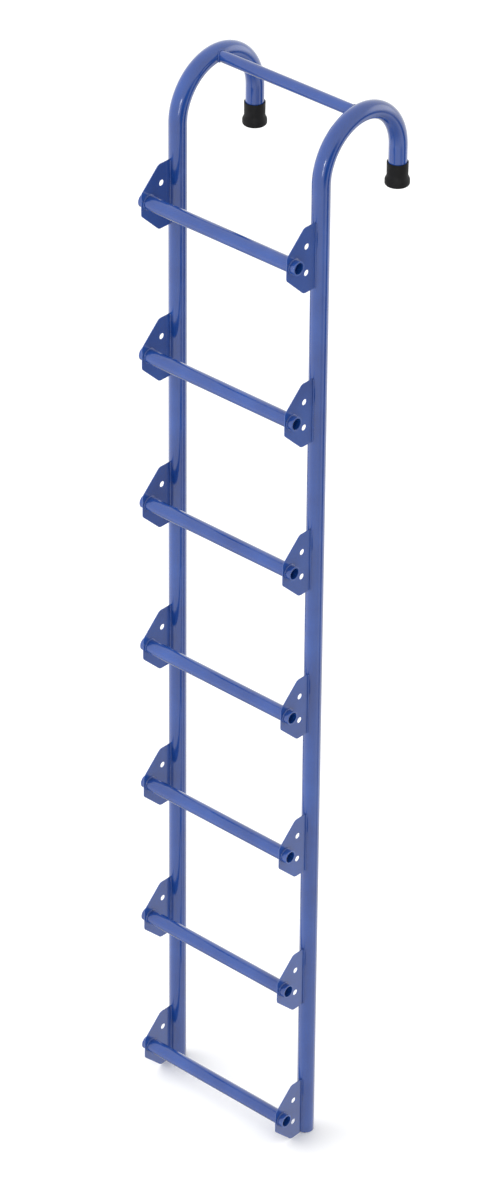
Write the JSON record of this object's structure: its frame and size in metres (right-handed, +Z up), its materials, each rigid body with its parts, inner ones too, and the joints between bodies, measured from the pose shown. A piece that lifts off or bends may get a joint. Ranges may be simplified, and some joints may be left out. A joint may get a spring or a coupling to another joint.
{
  "type": "pool slide ladder",
  "caption": "Hook-over climbing ladder of a pool slide: painted pipe rails bent into hooks with rubber tips, pipe rungs through bolt-on bracket plates, and a hook crossbar.",
  "frame": {"origin": "the hook seat: the lowest point of the hooks' crown, midway between the two hooks, where the ladder hangs on an edge", "axes": "+Z up along the rails; +X to the right of a person who faces the rungs, across the rungs; +Y away from that person, from the rails towards the hooks' tips"},
  "size_m": [0.3744, 0.3093, 2.1351],
  "materials": {
    "blue_paint": "glossy blue enamel or powder coat over steel pipe",
    "black_rubber": "satin black rubber"
  },
  "bodies": {
    "root": {"left_rail": "blue_paint", "right_rail": "blue_paint", "hook_crossbar": "blue_paint", "rung_1": "blue_paint", "rung_2": "blue_paint", "rung_3": "blue_paint", "rung_4": "blue_paint", "rung_5": "blue_paint", "rung_6": "blue_paint", "rung_7": "blue_paint", "left_plate_1": "blue_paint", "left_plate_2": "blue_paint", "left_plate_3": "blue_paint", "left_plate_4": "blue_paint", "left_plate_5": "blue_paint", "left_plate_6": "blue_paint", "left_plate_7": "blue_paint", "right_plate_1": "blue_paint", "right_plate_2": "blue_paint", "right_plate_3": "blue_paint", "right_plate_4": "blue_paint", "right_plate_5": "blue_paint", "right_plate_6": "blue_paint", "right_plate_7": "blue_paint", "left_hook_tip": "black_rubber", "right_hook_tip": "black_rubber"}
  },
  "joints": []
}
